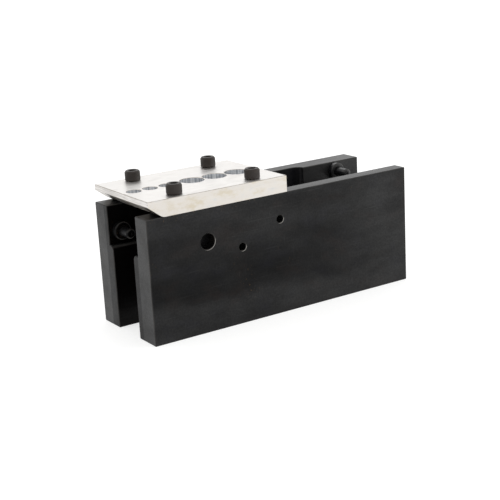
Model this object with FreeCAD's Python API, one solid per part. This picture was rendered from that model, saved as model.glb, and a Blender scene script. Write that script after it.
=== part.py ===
import FreeCAD, Part
import math
import os

# Two-plate drilling fixture. Two steel side plates stand on edge, parallel to each other, and an
# aluminium guide plate is screwed down across their left-hand half with four socket head cap screws.
#
# Millimetres. The origin is on the standing plane, under the middle of the footprint.
# +X runs along the plates, +Y from the near plate to the far plate, and +Z is up.

# Whole fixture: the width is over the side plates' outer faces
FIXTURE_LENGTH = 192.0
FIXTURE_WIDTH = 64.0

# Side plates: 3/4 x 3 inch flat bar
PLATE_HEIGHT = 76.2
PLATE_THICKNESS = 19.05
EDGE_BREAK = 0.4

# Reliefs milled into the plates' inner faces, down to a ledge. A wall is what the cutter leaves.
LEDGE_HEIGHT = 52.0
LEDGE_LIP_RADIUS = 3.0
CUTTER_RADIUS = 6.0
RELIEF_STEP_X = 4.0
NEAR_LEFT_WALL = 13.5
NEAR_RIGHT_WALL = 10.0
FAR_END_WALL = 15.0
FAR_MIDDLE_WALL = 10.0
FAR_SHOULDER_X = 50.0

# Blind holes in the near plate's outer face: (x, z, radius)
SIDE_HOLES = [(-56.0, 56.0, 5.0), (-32.0, 48.0, 2.5), (-4.0, 60.0, 2.5)]
SIDE_HOLE_DEPTH = 8.0
SIDE_HOLE_CHAMFER = 0.3

# Guide plate: flush with the near plate's outer face, overhanging the far plate's, and undercut at
# its left end
GUIDE_LEFT_X = -94.0
GUIDE_RIGHT_X = 2.0
GUIDE_OVERHANG = 2.5
GUIDE_THICKNESS = 10.2
GUIDE_NOSE_HEIGHT = 3.3
GUIDE_UNDERCUT_LENGTH = 9.0
GUIDE_UNDERCUT_RADIUS = 6.0
GUIDE_EDGE_BREAK = 0.3

# One row of blind holes in the guide plate, a little off its centre line
GUIDE_ROW_Y = -2.0
GUIDE_SMALL_HOLES_X = [-86.0, -75.0, -64.0]
GUIDE_SMALL_RADIUS = 4.5
GUIDE_SMALL_DEPTH = 4.0
GUIDE_LARGE_HOLES_X = [-46.0, -30.0, -14.0]
GUIDE_LARGE_RADIUS = 7.5
GUIDE_LARGE_DEPTH = 7.0
GUIDE_HOLE_CHAMFER = 0.25

# Socket head cap screws, 1/4 x 1 inch
SCREW_LEFT_X = -71.7
SCREW_RIGHT_X = -17.3
NEAR_ROW_INSET = 8.3
FAR_ROW_INSET = 5.2
HEAD_RADIUS = 4.7625
HEAD_HEIGHT = 6.35
HEAD_CHAMFER = 0.5
SHANK_RADIUS = 3.10
SHANK_LENGTH = 25.4
SHANK_CHAMFER = 0.7
SOCKET_ACROSS_FLATS = 4.7625
SOCKET_DEPTH = 3.2
SOCKET_POINT = 0.8
CLEARANCE_HOLE_RADIUS = 3.4
TAPPED_HOLE_RADIUS = 3.175
TAPPED_HOLE_DEPTH = 20.0
TAPPED_HOLE_CHAMFER = 0.4
DRILL_POINT_ANGLE = 31.0

# Stub pins pressed into the far plate's inner face, each with a collar: (x, z)
FRONT_PIN = (76.0, 70.0)
REAR_PIN = (-88.0, 60.0)
PIN_RADIUS = 3.0
PIN_SEAT_DEPTH = 10.0
PIN_REACH = 14.0
PIN_NOSE_CHAMFER = 0.8
COLLAR_RADIUS = 5.5
COLLAR_THICKNESS = 4.0
COLLAR_CHAMFER = 0.5

# How far a cutting tool runs past the face that it opens
OVERRUN = 2.0

# Two positions closer than this are the same position
SAME_PLACE = 1e-6

HALF_LENGTH = FIXTURE_LENGTH / 2
GUIDE_WIDTH = FIXTURE_WIDTH + GUIDE_OVERHANG
NEAR_FACE_Y = -GUIDE_WIDTH / 2
FAR_FACE_Y = NEAR_FACE_Y + FIXTURE_WIDTH
PIN_FACE_Y = FAR_FACE_Y - FAR_END_WALL
GUIDE_TOP = PLATE_HEIGHT + GUIDE_THICKNESS
SCREW_ROWS = {"near": NEAR_FACE_Y + NEAR_ROW_INSET, "far": FAR_FACE_Y - FAR_ROW_INSET}
SCREW_COLUMNS = {"left": SCREW_LEFT_X, "right": SCREW_RIGHT_X}

Y_AXIS = FreeCAD.Vector(0, 1, 0)
Z_AXIS = FreeCAD.Vector(0, 0, 1)


def block(low, high):
    """Box between two opposite corners."""
    size = [high[i] - low[i] for i in range(3)]
    return Part.makeBox(*size, FreeCAD.Vector(*low))


def turned(profile, base, axis):
    """Round piece: (radius, height) points turned about `axis` through `base`, closed on the axis."""
    points = [FreeCAD.Vector(radius, 0, height) for radius, height in profile]
    face = Part.Face(Part.makePolygon(points + points[:1]))
    solid = face.revolve(FreeCAD.Vector(0, 0, 0), Z_AXIS, 360)
    solid.Placement = FreeCAD.Placement(base, FreeCAD.Rotation(Z_AXIS, axis))
    return solid


def hole_tool(mouth, inward, radius, depth, chamfer, point=0.0):
    """Cutter for a hole from `mouth` along `inward`, with a chamfered rim and an optional drill point."""
    profile = [
        (0, -OVERRUN),
        (radius + chamfer + OVERRUN, -OVERRUN),
        (radius, chamfer),
        (radius, depth),
        (0, depth + point),
    ]
    return turned(profile, mouth, inward)


def break_edges(shape, faces_at, size):
    """Chamfer the outlines of the flat faces that lie on the given (axis, position) planes."""
    edges = []
    for face in shape.Faces:
        box = face.BoundBox
        for axis, position in faces_at:
            low = getattr(box, axis + "Min")
            high = getattr(box, axis + "Max")
            if abs(low - position) < SAME_PLACE and abs(high - position) < SAME_PLACE:
                edges += [edge for edge in face.Edges if not any(edge.isSame(e) for e in edges)]
    return shape.makeChamfer(size, edges)


# Side plates. Each is made with its outer face at y = 0 and its inner face at +y, then put in place. The
# far one is mirrored first.

def relief(wall, start_x, end_x):
    """Pocket above the ledge that leaves `wall`, with the cutter's radius at its ends in plan."""
    top = PLATE_HEIGHT + OVERRUN
    pocket = block(
        (start_x + CUTTER_RADIUS, wall, LEDGE_HEIGHT),
        (end_x - CUTTER_RADIUS, PLATE_THICKNESS + OVERRUN, top),
    )
    for centre_x in (start_x + CUTTER_RADIUS, end_x - CUTTER_RADIUS):
        centre = FreeCAD.Vector(centre_x, wall + CUTTER_RADIUS, LEDGE_HEIGHT)
        pocket = pocket.fuse(Part.makeCylinder(CUTTER_RADIUS, top - LEDGE_HEIGHT, centre, Z_AXIS))
    return pocket


def side_plate(reliefs, row_inset):
    """Flat bar with its reliefs, the rounded ledge lip, broken edges and the screws' tapped holes."""
    plate = block((-HALF_LENGTH, 0, 0), (HALF_LENGTH, PLATE_THICKNESS, PLATE_HEIGHT))
    for wall, start_x, end_x in reliefs:
        plate = plate.cut(relief(wall, start_x, end_x))
    plate = plate.removeSplitter()
    lip = [
        edge
        for edge in plate.Edges
        if abs(edge.BoundBox.ZMin - LEDGE_HEIGHT) < SAME_PLACE
        and abs(edge.BoundBox.ZMax - LEDGE_HEIGHT) < SAME_PLACE
        and abs(edge.BoundBox.YMin - PLATE_THICKNESS) < SAME_PLACE
    ]
    plate = plate.makeFillet(LEDGE_LIP_RADIUS, lip)
    outline = [("Z", 0.0), ("Z", PLATE_HEIGHT), ("X", -HALF_LENGTH), ("X", HALF_LENGTH)]
    plate = break_edges(plate, outline, EDGE_BREAK)
    point = TAPPED_HOLE_RADIUS * math.tan(math.radians(DRILL_POINT_ANGLE))
    for x in SCREW_COLUMNS.values():
        mouth = FreeCAD.Vector(x, row_inset, PLATE_HEIGHT)
        plate = plate.cut(
            hole_tool(mouth, -Z_AXIS, TAPPED_HOLE_RADIUS, TAPPED_HOLE_DEPTH, TAPPED_HOLE_CHAMFER, point)
        )
    return plate


# A relief that runs out of a plate's end has its round end outside the bar.
LEFT_RUNOUT = -HALF_LENGTH - 2 * CUTTER_RADIUS
RIGHT_RUNOUT = HALF_LENGTH + 2 * CUTTER_RADIUS

near_reliefs = [
    (NEAR_LEFT_WALL, LEFT_RUNOUT, RIGHT_RUNOUT),
    (NEAR_RIGHT_WALL, RELIEF_STEP_X, RIGHT_RUNOUT),
]
near_side_plate = side_plate(near_reliefs, NEAR_ROW_INSET)
near_side_plate.translate(Y_AXIS * NEAR_FACE_Y)
for hole_x, hole_z, hole_radius in SIDE_HOLES:
    hole_mouth = FreeCAD.Vector(hole_x, NEAR_FACE_Y, hole_z)
    near_side_plate = near_side_plate.cut(
        hole_tool(hole_mouth, Y_AXIS, hole_radius, SIDE_HOLE_DEPTH, SIDE_HOLE_CHAMFER)
    )

far_reliefs = [
    (FAR_END_WALL, LEFT_RUNOUT, RIGHT_RUNOUT),
    (FAR_MIDDLE_WALL, RELIEF_STEP_X, FAR_SHOULDER_X),
]
far_side_plate = side_plate(far_reliefs, FAR_ROW_INSET).mirror(FreeCAD.Vector(0, 0, 0), Y_AXIS)
far_side_plate.translate(Y_AXIS * FAR_FACE_Y)
for pin_x, pin_z in (FRONT_PIN, REAR_PIN):
    pin_seat = FreeCAD.Vector(pin_x, PIN_FACE_Y, pin_z)
    far_side_plate = far_side_plate.cut(Part.makeCylinder(PIN_RADIUS, PIN_SEAT_DEPTH, pin_seat, Y_AXIS))


# Guide plate: a block with its left end undercut to a thin nose, the holes for the screws, and the row
# of blind holes.

def guide_profile():
    """Side view of the guide plate, with the undercut running into its underside on an arc."""
    nose_bottom = GUIDE_TOP - GUIDE_NOSE_HEIGHT
    drop = nose_bottom - PLATE_HEIGHT
    slope = math.atan2(drop, GUIDE_UNDERCUT_LENGTH)
    tangent = GUIDE_UNDERCUT_RADIUS * math.tan(slope / 2)
    corner_x = GUIDE_LEFT_X + GUIDE_UNDERCUT_LENGTH
    arc_start = FreeCAD.Vector(
        corner_x - tangent * math.cos(slope), NEAR_FACE_Y, PLATE_HEIGHT + tangent * math.sin(slope)
    )
    arc_end = FreeCAD.Vector(corner_x + tangent, NEAR_FACE_Y, PLATE_HEIGHT)
    arc_middle = FreeCAD.Vector(
        arc_end.x - GUIDE_UNDERCUT_RADIUS * math.sin(slope / 2),
        NEAR_FACE_Y,
        PLATE_HEIGHT + GUIDE_UNDERCUT_RADIUS * (1 - math.cos(slope / 2)),
    )
    nose_low = FreeCAD.Vector(GUIDE_LEFT_X, NEAR_FACE_Y, nose_bottom)
    nose_high = FreeCAD.Vector(GUIDE_LEFT_X, NEAR_FACE_Y, GUIDE_TOP)
    right_high = FreeCAD.Vector(GUIDE_RIGHT_X, NEAR_FACE_Y, GUIDE_TOP)
    right_low = FreeCAD.Vector(GUIDE_RIGHT_X, NEAR_FACE_Y, PLATE_HEIGHT)
    return Part.Wire([
        Part.LineSegment(nose_high, nose_low).toShape(),
        Part.LineSegment(nose_low, arc_start).toShape(),
        Part.Arc(arc_start, arc_middle, arc_end).toShape(),
        Part.LineSegment(arc_end, right_low).toShape(),
        Part.LineSegment(right_low, right_high).toShape(),
        Part.LineSegment(right_high, nose_high).toShape(),
    ])


guide_plate = Part.Face(guide_profile()).extrude(Y_AXIS * GUIDE_WIDTH)
guide_plate = break_edges(guide_plate, [("Z", GUIDE_TOP)], GUIDE_EDGE_BREAK)
row_holes = [(hole_x, GUIDE_SMALL_RADIUS, GUIDE_SMALL_DEPTH) for hole_x in GUIDE_SMALL_HOLES_X]
row_holes += [(hole_x, GUIDE_LARGE_RADIUS, GUIDE_LARGE_DEPTH) for hole_x in GUIDE_LARGE_HOLES_X]
for hole_x, hole_radius, hole_depth in row_holes:
    hole_mouth = FreeCAD.Vector(hole_x, GUIDE_ROW_Y, GUIDE_TOP)
    guide_plate = guide_plate.cut(
        hole_tool(hole_mouth, -Z_AXIS, hole_radius, hole_depth, GUIDE_HOLE_CHAMFER)
    )
for screw_x in SCREW_COLUMNS.values():
    for screw_y in SCREW_ROWS.values():
        hole_mouth = FreeCAD.Vector(screw_x, screw_y, GUIDE_TOP)
        through = GUIDE_THICKNESS + OVERRUN
        guide_plate = guide_plate.cut(
            hole_tool(hole_mouth, -Z_AXIS, CLEARANCE_HOLE_RADIUS, through, GUIDE_HOLE_CHAMFER)
        )


# Cap screws: a turned head and shank with a hexagonal socket. The head bears on the guide plate's top.

def cap_screw(x, y):
    """Socket head cap screw, standing in its holes at (x, y)."""
    seat = FreeCAD.Vector(x, y, GUIDE_TOP)
    profile = [
        (0, -SHANK_LENGTH),
        (SHANK_RADIUS - SHANK_CHAMFER, -SHANK_LENGTH),
        (SHANK_RADIUS, -SHANK_LENGTH + SHANK_CHAMFER),
        (SHANK_RADIUS, 0),
        (HEAD_RADIUS, 0),
        (HEAD_RADIUS, HEAD_HEIGHT - HEAD_CHAMFER),
        (HEAD_RADIUS - HEAD_CHAMFER, HEAD_HEIGHT),
        (0, HEAD_HEIGHT),
    ]
    screw = turned(profile, seat, Z_AXIS)
    corner_radius = SOCKET_ACROSS_FLATS / math.sqrt(3)
    floor_z = GUIDE_TOP + HEAD_HEIGHT - SOCKET_DEPTH
    corners = [
        FreeCAD.Vector(
            x + corner_radius * math.cos(math.radians(60 * i)),
            y + corner_radius * math.sin(math.radians(60 * i)),
            floor_z,
        )
        for i in range(6)
    ]
    hexagon = Part.Face(Part.makePolygon(corners + corners[:1]))
    screw = screw.cut(hexagon.extrude(Z_AXIS * (SOCKET_DEPTH + OVERRUN)))
    point_base = FreeCAD.Vector(x, y, floor_z)
    point = Part.makeCone(SOCKET_ACROSS_FLATS / 2, 0, SOCKET_POINT, point_base, -Z_AXIS)
    return screw.cut(point)


# Stub pins and collars: the pin is pressed into the far plate and through its collar, which seats on
# the relieved inner face. Both point across the gap, towards -Y.

def stub_pin(x, z):
    """Pin with a chamfered nose, seated in the far plate's end wall."""
    face = FreeCAD.Vector(x, PIN_FACE_Y, z)
    profile = [
        (0, -PIN_SEAT_DEPTH),
        (PIN_RADIUS, -PIN_SEAT_DEPTH),
        (PIN_RADIUS, PIN_REACH - PIN_NOSE_CHAMFER),
        (PIN_RADIUS - PIN_NOSE_CHAMFER, PIN_REACH),
        (0, PIN_REACH),
    ]
    return turned(profile, face, -Y_AXIS)


def pin_collar(x, z):
    """Ring round a stub pin, against the far plate's inner face."""
    face = FreeCAD.Vector(x, PIN_FACE_Y, z)
    profile = [
        (PIN_RADIUS, 0),
        (COLLAR_RADIUS, 0),
        (COLLAR_RADIUS, COLLAR_THICKNESS - COLLAR_CHAMFER),
        (COLLAR_RADIUS - COLLAR_CHAMFER, COLLAR_THICKNESS),
        (PIN_RADIUS, COLLAR_THICKNESS),
    ]
    return turned(profile, face, -Y_AXIS)


pieces = {
    "near_side_plate": near_side_plate,
    "far_side_plate": far_side_plate,
    "guide_plate": guide_plate,
    "front_stub_pin": stub_pin(*FRONT_PIN),
    "front_pin_collar": pin_collar(*FRONT_PIN),
    "rear_stub_pin": stub_pin(*REAR_PIN),
    "rear_pin_collar": pin_collar(*REAR_PIN),
}
for row, screw_y in SCREW_ROWS.items():
    for column, screw_x in SCREW_COLUMNS.items():
        pieces["cap_screw_" + row + "_" + column] = cap_screw(screw_x, screw_y)

os.makedirs("parts", exist_ok=True)
for name, shape in pieces.items():
    shape.exportStep(os.path.join("parts", name + ".step"))
    print(name, "valid", shape.isValid(), "solids", len(shape.Solids), "volume", round(shape.Volume, 1))
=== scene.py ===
import math

import bpy
import numpy as np
from mathutils import Matrix, Vector


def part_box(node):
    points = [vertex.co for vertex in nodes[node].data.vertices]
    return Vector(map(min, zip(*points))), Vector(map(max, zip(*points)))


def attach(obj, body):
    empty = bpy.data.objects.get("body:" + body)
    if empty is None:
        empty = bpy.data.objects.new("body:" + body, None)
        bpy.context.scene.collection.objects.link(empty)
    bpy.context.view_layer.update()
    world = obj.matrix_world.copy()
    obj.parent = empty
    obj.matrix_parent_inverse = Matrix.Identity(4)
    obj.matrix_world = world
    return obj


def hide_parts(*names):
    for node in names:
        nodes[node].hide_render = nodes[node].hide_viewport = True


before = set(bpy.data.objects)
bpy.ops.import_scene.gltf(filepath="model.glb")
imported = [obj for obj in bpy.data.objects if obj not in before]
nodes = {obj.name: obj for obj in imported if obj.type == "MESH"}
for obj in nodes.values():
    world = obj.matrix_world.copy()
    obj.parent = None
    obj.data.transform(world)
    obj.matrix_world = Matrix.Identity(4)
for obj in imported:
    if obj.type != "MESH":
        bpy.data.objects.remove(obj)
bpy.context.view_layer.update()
MM = 0.001


# Camera: a long lens a little above the fixture, off its left-hand end, so that the near side plate,
# both left ends and the top of the guide plate are in view.

CAMERA_PLACE = Vector((-0.39725, -0.60532, 0.23973))
CAMERA_YAW = 0.5743
CAMERA_PITCH = 0.2783
CAMERA_ROLL = -0.0547
CAMERA_LENS_MM = 84.68
CAMERA_SENSOR_MM = 36.0

camera = bpy.data.objects.new("camera", bpy.data.cameras.new("camera"))
camera.data.lens = CAMERA_LENS_MM
camera.data.sensor_width = CAMERA_SENSOR_MM
camera.matrix_world = (
    Matrix.Translation(CAMERA_PLACE)
    @ Matrix.Rotation(-CAMERA_YAW, 4, "Z")
    @ Matrix.Rotation(math.pi / 2 - CAMERA_PITCH, 4, "X")
    @ Matrix.Rotation(CAMERA_ROLL, 4, "Z")
)
bpy.context.scene.collection.objects.link(camera)
bpy.context.scene.camera = camera
bpy.context.scene.view_settings.view_transform = "Standard"


# Studio: a plain pale floor under an even pale surround, which gives most of the light. Two large soft
# lights stand at the right and behind, so that the right-hand end is a little lighter than the left.

FLOOR_RADIUS = 12.0
FLOOR_CORNERS = 96
FLOOR_GLOW = 0.66
SURROUND_STRENGTH = 1.0


def linear(colour):
    """Linear RGBA of an sRGB hex colour: c / 12.92 in the darks, else ((c + 0.055) / 1.055) ^ 2.4."""
    c = np.array([int(colour[i:i + 2], 16) for i in (0, 2, 4)]) / 255
    rgb = np.where(c <= 0.04045, c / 12.92, ((c + 0.055) / 1.055) ** 2.4)
    return (*rgb.tolist(), 1.0)


def add(tree, kind, inputs=(), **settings):
    """Adds a shader node. `inputs` feed its live sockets in order, or are given by name. Each one is a
    value, a hex colour, a socket, or a node, which stands for its first live output."""
    made = tree.nodes.new("ShaderNode" + kind)
    for name, value in settings.items():
        setattr(made, name, value)
    if not isinstance(inputs, dict):
        live = [index for index, socket in enumerate(made.inputs) if socket.enabled]
        inputs = dict(zip(live, inputs))
    for key, value in inputs.items():
        if isinstance(value, bpy.types.Node):
            value = next(socket for socket in value.outputs if socket.enabled)
        if isinstance(value, bpy.types.NodeSocket):
            tree.links.new(value, made.inputs[key])
        else:
            made.inputs[key].default_value = linear(value) if isinstance(value, str) else value
    return made


def new_material(name):
    """Empty node material and its tree."""
    material = bpy.data.materials.new(name)
    material.use_nodes = True
    material.node_tree.nodes.clear()
    return material, material.node_tree


# The floor is a white table lit a little from below, which keeps the shadow under the fixture soft.
material, tree = new_material("lit_white_table")
shader = add(
    tree, "BsdfPrincipled",
    {
        "Base Color": "b4b4b3",
        "Roughness": 0.9,
        "Emission Color": "ffffff",
        "Emission Strength": FLOOR_GLOW,
    },
)
add(tree, "OutputMaterial", {"Surface": shader})
angle = np.linspace(0, 2 * math.pi, FLOOR_CORNERS, endpoint=False)
rim = np.column_stack((np.cos(angle), np.sin(angle), np.zeros_like(angle))) * FLOOR_RADIUS
floor_mesh = bpy.data.meshes.new("floor")
floor_mesh.from_pydata(rim.tolist(), [], [list(range(FLOOR_CORNERS))])
floor_mesh.materials.append(material)
floor = bpy.data.objects.new("floor", floor_mesh)
bpy.context.scene.collection.objects.link(floor)

world = bpy.data.worlds.new("pale_surround")
world.use_nodes = True
background = world.node_tree.nodes["Background"]
background.inputs["Color"].default_value = linear("ffffff")
background.inputs["Strength"].default_value = SURROUND_STRENGTH
bpy.context.scene.world = world

# name, place, side in metres, watts
LIGHTS = [
    ("window_right_front", (1.9, -1.2, 0.7), 1.0, 14.0),
    ("overhead_rear", (0.9, 1.5, 1.6), 1.2, 7.0),
]
AIM = Vector((0, 0, 0.04))
for name, place, side, watts in LIGHTS:
    light = bpy.data.lights.new(name, "AREA")
    light.shape = "SQUARE"
    light.size = side
    light.energy = watts
    lamp = bpy.data.objects.new(name, light)
    lamp.location = place
    lamp.rotation_euler = (AIM - Vector(place)).to_track_quat("-Z", "Y").to_euler()
    bpy.context.scene.collection.objects.link(lamp)


# Side plates: two flat steel bars standing on edge, ground, milled on their inner faces and then
# chemically blackened and oiled. The finish is even and satin, with a faint brown and blue bloom, and
# it is worn thin along the broken edges.

STEP = {"interpolation_type": "SMOOTHSTEP"}
MIX = {"data_type": "RGBA"}


def per_metre(*millimetres):
    """Texture scale whose features are about that many millimetres across, for all axes or for each."""
    scale = [1000.0 / size for size in millimetres]
    return scale[0] if len(scale) == 1 else scale


def blackened_ground_steel():
    """Black oxide over ground steel: a dark skin that reflects like lacquer under oil, not like uncoated
    metal.
    """
    material, tree = new_material("blackened_ground_steel")
    _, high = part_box("near_side_plate")
    end, top = high.x, high.z
    coordinates = add(tree, "TexCoord").outputs
    place = coordinates["Object"]
    axis = add(tree, "SeparateXYZ", [place]).outputs
    facing = add(tree, "SeparateXYZ", [coordinates["Normal"]]).outputs
    along, up = axis["X"], axis["Z"]
    length = add(tree, "Math", [along], operation="ABSOLUTE")
    across = add(tree, "Math", [axis["Y"]], operation="ABSOLUTE")
    sideways = add(tree, "Math", [facing["Y"]], operation="ABSOLUTE")
    upward = add(tree, "Math", [facing["Z"]], operation="ABSOLUTE")

    # Colour: near black, clouded brown and blue where the bath took unevenly.
    clouds = add(tree, "TexNoise", [place, per_metre(14), 4.0])
    skin = add(tree, "Mix", [clouds, "060606", "131314"], **MIX)
    bloom = add(tree, "Mapping", {"Vector": place, "Scale": per_metre(26, 16, 16)})
    bloom = add(tree, "TexNoise", [bloom, 1.0, 5.0, 0.62])
    brown = add(tree, "MapRange", [bloom, 0.50, 0.70, 0.0, 0.5], **STEP)
    skin = add(tree, "Mix", [brown, skin, "1b1513"], **MIX)
    blue = add(tree, "MapRange", [bloom, 0.48, 0.32, 0.0, 0.5], **STEP)
    skin = add(tree, "Mix", [blue, skin, "121217"], **MIX)

    # Inner faces: painted shade, darkest deep in the gap, lightening to a painted light grey at the open
    # right-hand end, where more light reaches them.
    inner = add(tree, "MapRange", [sideways, 0.7, 0.9], **STEP)
    inner = add(tree, "MapRange", [across, 20 * MM, 19 * MM, 0.0, inner], **STEP)
    gap_painted_shade_and_light = add(tree, "MapRange", [along, 0.0, 70 * MM], **STEP)
    gap_painted_shade_and_light = add(tree, "Mix", [gap_painted_shade_and_light, "040303", "232323"], **MIX)
    skin = add(tree, "Mix", [inner, skin, gap_painted_shade_and_light], **MIX)

    # Rust flecks, each about a millimetre. They gather in places, and along the top edge at the left.
    damp = add(tree, "MapRange", [across, 30 * MM, 33 * MM, 0.0, 0.8], **STEP)
    damp = add(tree, "MapRange", [along, 0.0, -30 * MM, 0.0, damp], **STEP)
    damp = add(tree, "MapRange", [up, top - 5.2 * MM, top - 0.7 * MM, 0.0, damp], **STEP)
    gather = add(tree, "TexNoise", [place, per_metre(22), 1.0])
    gather = add(tree, "MapRange", [gather, 0.58, 0.72, 0.0, 0.5], **STEP)
    gather = add(tree, "Math", [gather, damp], operation="MAXIMUM")
    fleck = add(tree, "TexNoise", [place, per_metre(1.2)])
    fleck = add(tree, "MapRange", [fleck, 0.64, 0.74, 0.0, gather], **STEP)
    skin = add(tree, "Mix", [fleck, skin, "4a3a28"], **MIX)

    # Wear: the edge breaks are rubbed grey. The side holes' rims get a painted highlight, a pale metallic
    # crescent on their lower right, where the light catches them.
    slanted = add(tree, "MapRange", [sideways, 0.95, 0.80], **STEP)
    slanted = add(tree, "MapRange", [sideways, 0.30, 0.60, 0.0, slanted], **STEP)
    long_edge = add(tree, "MapRange", [upward, 0.2, 0.4], **STEP)
    end_edge = add(tree, "MapRange", [length, end - 1.5 * MM, end - 0.8 * MM], **STEP)
    outline = add(tree, "Math", [long_edge, end_edge], operation="MAXIMUM")
    outline = add(tree, "Math", [outline, slanted], operation="MULTIPLY")
    wear = add(tree, "TexNoise", [place, per_metre(9), 4.0])
    wear = add(tree, "MapRange", [wear, 0.30, 0.70, 0.3, 0.7], **STEP)
    wear = add(tree, "Math", [wear, outline], operation="MULTIPLY")
    skin = add(tree, "Mix", [wear, skin, "403e3c"], **MIX)
    # Painted highlight: a pale crescent on the lower right of each side hole's rim.
    painted_rim_highlight = add(tree, "Math", [facing["Z"], facing["X"]], operation="SUBTRACT")
    painted_rim_highlight = add(tree, "MapRange", [painted_rim_highlight, 0.2, 0.8, 0.0, slanted], **STEP)
    painted_rim_highlight = add(tree, "MapRange", [across, 30 * MM, 30.3 * MM, 0.0, painted_rim_highlight], **STEP)
    painted_rim_highlight = add(tree, "MapRange", [length, end - 1.0 * MM, end - 1.5 * MM, 0.0, painted_rim_highlight], **STEP)
    painted_rim_highlight = add(tree, "MapRange", [up, top - 1.0 * MM, top - 1.5 * MM, 0.0, painted_rim_highlight], **STEP)
    skin = add(tree, "Mix", [painted_rim_highlight, skin, "85827e"], **MIX)

    # Shine: a painted reflection, a dull band whose height on the face wanders, darkens the side faces low
    # down, standing for a dark surround mirrored in them. It is a little glossier on the narrow faces, and a
    # painted sheen makes it glossier at the right-hand end, where more light falls.
    level = add(tree, "Mapping", {"Vector": place, "Scale": per_metre(40, 30, 30)})
    level = add(tree, "TexNoise", [level, 1.0, 3.0])
    level = add(tree, "Math", [level, 26 * MM, up], operation="MULTIPLY_ADD")
    # Painted reflection: a dull band across the side faces, fading out towards the right-hand end.
    band = add(tree, "MapRange", [level, 26 * MM, 40 * MM, 0.0, sideways], **STEP)
    band = add(tree, "MapRange", [level, 95 * MM, 37 * MM, 0.0, band], **STEP)
    band = add(tree, "MapRange", [along, 80 * MM, 20 * MM, 0.0, band], **STEP)
    shine = add(tree, "Math", [band, -0.20, 0.36], operation="MULTIPLY_ADD")
    narrow = add(tree, "MapRange", [sideways, 0.5, 0.2, 0.0, 0.07], **STEP)
    shine = add(tree, "Math", [shine, narrow], operation="ADD")
    # Painted sheen: more shine towards the right-hand end, where more light falls.
    right = add(tree, "MapRange", [along, 20 * MM, 90 * MM, 0.0, 0.04], **STEP)
    shine = add(tree, "Math", [shine, right], operation="ADD")

    # Clouds and a fine speckle break the shine up. Scratches along the bar and upright ones catch the
    # light, drawn wider than real ones so that they show. The shine is cut deep in the gap at the left end,
    # a painted shade.
    cloud = add(tree, "Mapping", {"Vector": place, "Scale": per_metre(34, 14, 14)})
    cloud = add(tree, "TexNoise", [cloud, 1.0, 5.0, 0.65])
    cloud = add(tree, "MapRange", [cloud, 0.25, 0.75, 0.70, 1.30], **STEP)
    shine = add(tree, "Math", [shine, cloud], operation="MULTIPLY")
    speckle = add(tree, "TexNoise", [place, per_metre(1.1)])
    speckle = add(tree, "MapRange", [speckle, 0.25, 0.75, 0.84, 1.16], **STEP)
    shine = add(tree, "Math", [shine, speckle], operation="MULTIPLY")
    for size, least, brightness in (((30, 0.5, 0.35), 0.70, 0.16), ((0.35, 0.5, 14), 0.72, 0.12)):
        scratch = add(tree, "Mapping", {"Vector": place, "Scale": per_metre(*size)})
        scratch = add(tree, "TexNoise", [scratch, 1.0, 1.0])
        scratch = add(tree, "MapRange", [scratch, least, least + 0.06, 0.0, brightness], **STEP)
        shine = add(tree, "Math", [shine, scratch], operation="ADD")
    # Painted shade: the shine is cut deep in the gap at the left end.
    gap_painted_shade = add(tree, "MapRange", [along, -40 * MM, -60 * MM, 1.0, 0.45], **STEP)
    gap_painted_shade = add(tree, "MapRange", [across, 20 * MM, 19 * MM, 1.0, gap_painted_shade], **STEP)
    shine = add(tree, "Math", [shine, gap_painted_shade], operation="MULTIPLY")

    # Relief: grinding lines along the bar outside, the cutter's upright lines inside, and fine pits. The
    # lines are drawn coarser than real ones so that they show.
    grind = add(tree, "Mapping", {"Vector": place, "Scale": per_metre(45, 0.6, 0.6)})
    grind = add(tree, "TexNoise", [grind, 1.0, 4.0, 0.6])
    pits = add(tree, "TexNoise", [place, per_metre(0.8)])
    relief = add(tree, "Math", [pits, 0.6, grind], operation="MULTIPLY_ADD")
    milled = add(tree, "Mapping", {"Vector": place, "Scale": per_metre(1.6, 1.6, 60)})
    milled = add(tree, "TexNoise", [milled, 1.0, 3.0])
    milled = add(tree, "Math", [milled, inner], operation="MULTIPLY")
    relief = add(tree, "Math", [milled, 3.0, relief], operation="MULTIPLY_ADD")
    bump = add(tree, "Bump", {"Height": relief, "Strength": 0.3, "Distance": 0.05 * MM})

    shader = add(
        tree, "BsdfPrincipled",
        {
            "Base Color": skin,
            # The painted rim highlight is also made metallic.
            "Metallic": add(tree, "Math", [painted_rim_highlight, 0.85], operation="MULTIPLY"),
            "Roughness": add(tree, "MapRange", [grind, 0.3, 0.7, 0.28, 0.40], **STEP),
            "IOR": 1.38,
            "Specular IOR Level": shine,
            "Normal": bump,
        },
    )
    add(tree, "OutputMaterial", {"Surface": shader})
    return material


plate_finish = blackened_ground_steel()
for name in ("near_side_plate", "far_side_plate"):
    nodes[name].data.materials.clear()
    nodes[name].data.materials.append(plate_finish)


# Guide plate: a block of bright aluminium, milled all over and bolted down across the side plates. The
# cutter's lines run along it, and handling has left yellow and grey stains on its near edge.

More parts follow.
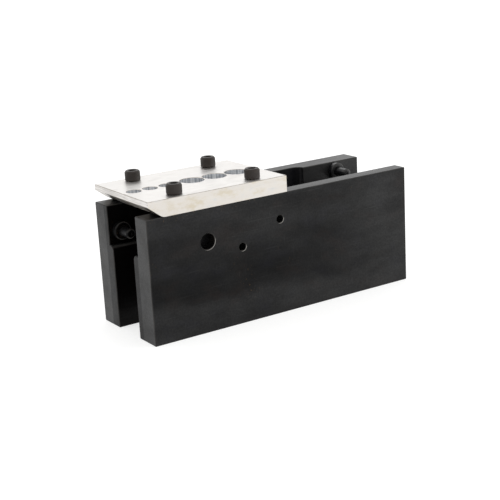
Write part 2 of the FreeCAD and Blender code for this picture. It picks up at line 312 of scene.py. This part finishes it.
def milled_aluminium():
    """Bare milled aluminium: a soft mirror with fine lines along the plate and dull, streaked bores."""
    material, tree = new_material("milled_aluminium")
    low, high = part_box("guide_plate")
    middle = (low + high) / 2
    half = (high - low) / 2
    coordinates = add(tree, "TexCoord").outputs
    place = coordinates["Object"]
    facing = add(tree, "SeparateXYZ", [coordinates["Normal"]]).outputs
    endways = add(tree, "Math", [facing["X"]], operation="ABSOLUTE")
    upright = add(tree, "Math", [facing["Z"]], operation="ABSOLUTE")

    # Top and bottom: clean metal with the cutter's lines, drawn coarse so that they show, and soft grey
    # smears.
    lines = add(tree, "Mapping", {"Vector": place, "Scale": per_metre(50, 0.7, 0.7)})
    lines = add(tree, "TexNoise", [lines, 1.0, 4.0, 0.6])
    clean = add(tree, "Mix", [lines, "cdcac7", "dbd9d6"], **MIX)
    smear = add(tree, "Mapping", {"Vector": place, "Scale": per_metre(16, 9, 9)})
    smear = add(tree, "TexNoise", [smear, 1.0, 4.0])
    grey = add(tree, "MapRange", [smear, 0.48, 0.72, 0.0, 0.5], **STEP)
    clean = add(tree, "Mix", [grey, clean, "bfbcb9"], **MIX)

    # Sides: duller sawn metal with yellow stains and bluish patches. Ends: greyer, with the saw's lines.
    sawn = add(tree, "Mix", [lines, "cdc8c2", "d8d4ce"], **MIX)
    stain = add(tree, "Mapping", {"Vector": place, "Scale": per_metre(11, 10, 5)})
    stain = add(tree, "TexNoise", [stain, 1.0, 6.0, 0.68])
    yellow = add(tree, "MapRange", [stain, 0.46, 0.70, 0.0, 0.52], **STEP)
    sawn = add(tree, "Mix", [yellow, sawn, "bfb294"], **MIX)
    bluish = add(tree, "MapRange", [stain, 0.43, 0.30, 0.0, 0.45], **STEP)
    sawn = add(tree, "Mix", [bluish, sawn, "bfc3c7"], **MIX)
    saw_lines = add(tree, "Mapping", {"Vector": place, "Scale": per_metre(9, 14, 0.9)})
    saw_lines = add(tree, "TexNoise", [saw_lines, 1.0, 4.0, 0.65])
    saw_lines = add(tree, "MapRange", [saw_lines, 0.35, 0.65], **STEP)
    end_grey = add(tree, "Mix", [saw_lines, "bfbcb9", "e0ddda"], **MIX)
    end_face = add(tree, "MapRange", [endways, 0.6, 0.9, 0.0, 0.9], **STEP)
    sawn = add(tree, "Mix", [end_face, sawn, end_grey], **MIX)
    side = add(tree, "MapRange", [upright, 0.9, 0.6], **STEP)
    metal = add(tree, "Mix", [side, clean, sawn], **MIX)

    # Edge breaks: a fine dull line, which comes and goes along each edge.
    broken = add(tree, "MapRange", [upright, 0.3, 0.5], **STEP)
    broken = add(tree, "MapRange", [upright, 0.95, 0.85, 0.0, broken], **STEP)
    patchy = add(tree, "MapRange", [stain, 0.35, 0.60, 0.2, 0.8], **STEP)
    broken = add(tree, "Math", [broken, patchy], operation="MULTIPLY")
    metal = add(tree, "Mix", [broken, metal, "8f877b"], **MIX)

    # Bores: every upright face well inside the plate's outline is a hole's wall, streaked by the drill.
    away = add(tree, "VectorMath", [place, middle], operation="SUBTRACT")
    away = add(tree, "VectorMath", [away], operation="ABSOLUTE")
    away = add(tree, "SeparateXYZ", [away]).outputs
    bore = add(tree, "MapRange", [upright, 0.4, 0.3], **STEP)
    bore = add(tree, "MapRange", [away["X"], half.x - 0.5 * MM, half.x - 0.6 * MM, 0.0, bore], **STEP)
    bore = add(tree, "MapRange", [away["Y"], half.y - 0.5 * MM, half.y - 0.6 * MM, 0.0, bore], **STEP)
    streaks = add(tree, "Mapping", {"Vector": place, "Scale": per_metre(1.3, 1.3, 30)})
    streaks = add(tree, "TexNoise", [streaks, 1.0, 3.0])
    streaks = add(tree, "MapRange", [streaks, 0.32, 0.68], **STEP)
    drilled = add(tree, "Mix", [streaks, "b4b9c0", "fafbfc"], **MIX)
    metal = add(tree, "Mix", [bore, metal, drilled], **MIX)

    relief = add(tree, "Math", [side, stain], operation="MULTIPLY")
    relief = add(tree, "Math", [relief, 2.0, lines], operation="MULTIPLY_ADD")
    bump = add(tree, "Bump", {"Height": relief, "Strength": 0.2, "Distance": 0.03 * MM})
    shader = add(
        tree, "BsdfPrincipled",
        {
            "Base Color": metal,
            "Metallic": 1.0,
            "Roughness": add(tree, "MapRange", [smear, 0.3, 0.7, 0.34, 0.46], **STEP),
            "Normal": bump,
        },
    )
    add(tree, "OutputMaterial", {"Surface": shader})
    return material


nodes["guide_plate"].data.materials.clear()
nodes["guide_plate"].data.materials.append(milled_aluminium())


# Cap screws: four standard socket head screws in alloy steel with a black oxide finish. The head is
# knurled for the fingers, the socket is broached, and the thread is rolled. Each one backs out by itself.

COLUMNS = 192
KNURLS = 32
KNURL_DEPTH = 0.16 * MM
KNURL_RUNOUT = 0.2 * MM
HEAD_CHAMFER = 0.8 * MM
HEAD_FOOT_CHAMFER = 0.45 * MM
PLAIN_BAND = 0.75 * MM
PLAIN_BAND_STEP = 0.05 * MM
TOP_BAND = 0.1 * MM
SOCKET_FLATS = 4.7625 * MM
SOCKET_DEPTH = 3.2 * MM
SOCKET_POINT = 0.8 * MM
SOCKET_LEAD = 0.3 * MM
SOCKET_LEAD_STEP = 0.15 * MM
SOCKET_CORNER_CUT = 0.1 * MM
SHANK_RADIUS = 3.10 * MM
SHANK_LENGTH = 25.4 * MM
THREAD_PITCH = 1.27 * MM
THREAD_DEPTH = 0.74 * MM
THREAD_ROWS_PER_TURN = 12
NECK = 1.0 * MM
NECK_CUT = 0.15 * MM
TIP_CHAMFER = 0.7 * MM
SHARP_EDGE = math.radians(35)


def wrap(name, points, material, body, ring=False):
    """Closed surface from a (rows, columns, 3) grid. Its ends meet in a point each, or join as a ring."""
    rows, columns, _ = points.shape
    vertices = points.reshape(-1, 3)
    row, column = np.meshgrid(np.arange(rows if ring else rows - 1), np.arange(columns), indexing="ij")
    next_row = (row + 1) % rows
    next_column = (column + 1) % columns
    corners = (
        row * columns + column,
        row * columns + next_column,
        next_row * columns + next_column,
        next_row * columns + column,
    )
    faces = np.stack(corners, axis=-1).reshape(-1, 4).tolist()
    if not ring:
        poles = (points[0].mean(axis=0), points[-1].mean(axis=0))
        first_pole, last_pole = len(vertices), len(vertices) + 1
        here = np.arange(columns)
        beside = (here + 1) % columns
        last = (rows - 1) * columns
        faces += np.column_stack((np.full(columns, first_pole), beside, here)).tolist()
        faces += np.column_stack((np.full(columns, last_pole), last + here, last + beside)).tolist()
        vertices = np.concatenate((vertices, poles))
    mesh = bpy.data.meshes.new(name)
    mesh.from_pydata(vertices.tolist(), [], faces)
    mesh.shade_smooth()
    mesh.set_sharp_from_angle(angle=SHARP_EDGE)
    mesh.materials.append(material)
    piece = bpy.data.objects.new(name, mesh)
    bpy.context.scene.collection.objects.link(piece)
    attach(piece, body)
    return piece


def thread_radius(angle, height):
    """60 degree thread on the shank: a triangle wave of height / pitch - angle / turn, flat at its crest."""
    turn = (height / THREAD_PITCH - angle / (2 * math.pi)) % 1.0
    ridge = np.clip(1.35 - 2.9 * np.abs(turn - 0.5), 0, 1)
    return SHANK_RADIUS - THREAD_DEPTH * (1 - ridge)


def cap_screw_grid(centre, seat_z, head_radius, head_height, turned_by):
    """Each row is a radius at every angle and a height, from the tip's pole up the shank, round the
    head and down the socket to its pole. It is carried round the screw's axis."""
    angle = np.linspace(0, 2 * math.pi, COLUMNS, endpoint=False)

    # Shank: the thread fades in over the tip's chamfer and stops at the neck under the head.
    thread_rows = int(SHANK_LENGTH / THREAD_PITCH * THREAD_ROWS_PER_TURN)
    shank_height = np.linspace(-SHANK_LENGTH, -NECK, thread_rows)[:, None]
    tip = SHANK_RADIUS - TIP_CHAMFER + shank_height + SHANK_LENGTH
    shank_radius = np.minimum(thread_radius(angle, shank_height), np.minimum(SHANK_RADIUS, tip))

    # Head: neck, plain band, knurled band, chamfer and flat top. The knurl is a triangle wave.
    wave = np.abs(((angle * KNURLS / (2 * math.pi)) % 1.0) * 2 - 1)
    knurled = head_radius - KNURL_DEPTH * (1 - wave)
    plain = head_radius - PLAIN_BAND_STEP
    chamfer_z = head_height - HEAD_CHAMFER
    rows = [
        (SHANK_RADIUS - NECK_CUT, -NECK + 0.1 * MM),
        (SHANK_RADIUS - NECK_CUT, 0.0),
        (plain - HEAD_FOOT_CHAMFER, 0.0),
        (plain, HEAD_FOOT_CHAMFER),
        (plain, PLAIN_BAND),
        (knurled, PLAIN_BAND + KNURL_RUNOUT),
        (knurled, chamfer_z - 0.35 * MM),
        (plain, chamfer_z - TOP_BAND),
        (head_radius - HEAD_CHAMFER, head_height),
    ]

    # Socket: a hexagon's radius is its flat's distance over the cosine of the angle from that flat. Its
    # mouth is cut back, and its foot runs down to the drill's point.
    from_flat = (angle + math.pi / 6) % (math.pi / 3) - math.pi / 6
    hexagon = SOCKET_FLATS / 2 / np.cos(from_flat)
    mouth = np.maximum(hexagon + SOCKET_LEAD_STEP, SOCKET_FLATS / math.sqrt(3) - SOCKET_CORNER_CUT)
    foot_z = head_height - SOCKET_DEPTH
    rows += [
        (mouth, head_height),
        (hexagon, head_height - SOCKET_LEAD),
        (hexagon, foot_z),
        (SOCKET_FLATS / 2 - 0.05 * MM, foot_z - 0.02 * MM),
        (0.05 * MM, foot_z - SOCKET_POINT),
    ]

    head_profile = np.array([np.broadcast_to(radius, COLUMNS) for radius, _ in rows])
    head_heights = np.array([height for _, height in rows])[:, None]
    radius = np.concatenate((shank_radius, head_profile))
    height = np.concatenate((shank_height, head_heights)) + seat_z
    x = centre.x + radius * np.cos(angle + turned_by)
    y = centre.y + radius * np.sin(angle + turned_by)
    return np.stack((x, y, np.broadcast_to(height, x.shape)), axis=-1)


def black_oxide_alloy():
    """Black oxide on a rolled and knurled screw: brownish black, satin, brighter on its high spots. The
    grain is drawn coarser than the real one so that it shows."""
    material, tree = new_material("black_oxide_alloy_steel")
    place = add(tree, "TexCoord").outputs["Object"]
    tint = add(tree, "TexNoise", [place, per_metre(2.5), 4.0])
    grain = add(tree, "TexNoise", [place, per_metre(0.4), 3.0])
    shader = add(
        tree, "BsdfPrincipled",
        {
            "Base Color": add(tree, "Mix", [tint, "16110e", "2c231d"], **MIX),
            "Metallic": 0.0,
            "Roughness": add(tree, "MapRange", [grain, 0.3, 0.7, 0.34, 0.52], **STEP),
            "IOR": 1.42,
            "Normal": add(tree, "Bump", {"Height": grain, "Strength": 0.3, "Distance": 0.04 * MM}),
        },
    )
    add(tree, "OutputMaterial", {"Surface": shader})
    return material


# Which way each hexagon ended up when its screw was done up tight, in degrees
SCREWS = {"near_left": 8, "near_right": 37, "far_left": 22, "far_right": 51}
screw_finish = black_oxide_alloy()
for where, degrees in SCREWS.items():
    low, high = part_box("cap_screw_" + where)
    seat_z = low.z + SHANK_LENGTH
    grid = cap_screw_grid(
        (low + high) / 2, seat_z, (high.x - low.x) / 2, high.z - seat_z, math.radians(degrees),
    )
    screw = wrap("knurled_cap_screw_" + where, grid, screw_finish, "screw_" + where)
    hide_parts("cap_screw_" + where)


# Stub pins and collars: turned steel pins pressed into the far side plate, each through a ring that
# seats on the plate. They were blackened with the plate and stand across the gap.

PIN_COLUMNS = 96
PIN_RADIUS = 3.0 * MM
PIN_SEAT = 10.0 * MM
PIN_FOOT_CHAMFER = 0.4 * MM
PIN_TIP_CHAMFER = 0.7 * MM
PIN_TIP_ROUND = 0.1 * MM
CENTRE_MARK_RADIUS = 0.75 * MM
CENTRE_DRILL_RADIUS = 0.4 * MM
COLLAR_THICKNESS = 4.0 * MM
COLLAR_FOOT_CHAMFER = 0.3 * MM
COLLAR_LIP_CHAMFER = 0.5 * MM
TURNING_PITCH = 0.35 * MM
TURNING_DEPTH = 0.015 * MM


def turned_grid(centre, face_y, profile):
    """Round piece along -Y: each (distance from the face, radius) point is carried round the axis."""
    angle = np.linspace(0, 2 * math.pi, PIN_COLUMNS, endpoint=False)
    distance, radius = np.array(profile).T
    x = centre.x + radius[:, None] * np.cos(angle)
    z = centre.z + radius[:, None] * np.sin(angle)
    y = np.broadcast_to(face_y - distance[:, None], x.shape)
    return np.stack((x, y, z), axis=-1)


def turned_length(start, end, radius):
    """Profile of a turned cylinder: its radius rises and falls by the depth of the tool's marks, which
    are drawn coarser than real ones so that they show."""
    distance = np.arange(start, end, TURNING_PITCH / 2)
    groove = TURNING_DEPTH * (np.arange(len(distance)) % 2)
    return list(zip(distance, radius - groove))


for end in ("front", "rear"):
    low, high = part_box(end + "_stub_pin")
    centre = (low + high) / 2
    face_y = high.y - PIN_SEAT
    reach = face_y - low.y
    profile = [
        (-PIN_SEAT, 0.1 * MM),
        (-PIN_SEAT, PIN_RADIUS - PIN_FOOT_CHAMFER),
        (-PIN_SEAT + PIN_FOOT_CHAMFER, PIN_RADIUS),
        *turned_length(COLLAR_THICKNESS - 1 * MM, reach - 0.85 * MM, PIN_RADIUS),
        (reach - PIN_TIP_ROUND - PIN_TIP_CHAMFER, PIN_RADIUS),
        (reach - PIN_TIP_ROUND, PIN_RADIUS - PIN_TIP_CHAMFER),
        (reach, PIN_RADIUS - PIN_TIP_CHAMFER - 0.2 * MM),
        (reach, CENTRE_MARK_RADIUS),
        (reach - 0.6 * MM, CENTRE_DRILL_RADIUS),
        (reach - 1.4 * MM, CENTRE_DRILL_RADIUS),
        (reach - 1.6 * MM, 0.05 * MM),
    ]
    pin = wrap(end + "_turned_pin", turned_grid(centre, face_y, profile), plate_finish, "root")
    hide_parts(end + "_stub_pin")

    low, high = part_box(end + "_pin_collar")
    centre = (low + high) / 2
    outer = (high.x - low.x) / 2
    thick = high.y - low.y
    profile = [
        (0.0, PIN_RADIUS),
        (0.0, outer - COLLAR_FOOT_CHAMFER),
        (COLLAR_FOOT_CHAMFER, outer),
        *turned_length(0.6 * MM, thick - 0.7 * MM, outer),
        (thick - COLLAR_LIP_CHAMFER - 0.05 * MM, outer),
        (thick - 0.05 * MM, outer - COLLAR_LIP_CHAMFER),
        (thick, outer - 0.65 * MM),
        (thick, PIN_RADIUS + 0.35 * MM),
        (thick - 0.3 * MM, PIN_RADIUS + 0.02 * MM),
    ]
    ring = turned_grid(centre, face_y, profile)
    collar = wrap(end + "_turned_collar", ring, plate_finish, "root", ring=True)
    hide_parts(end + "_pin_collar")
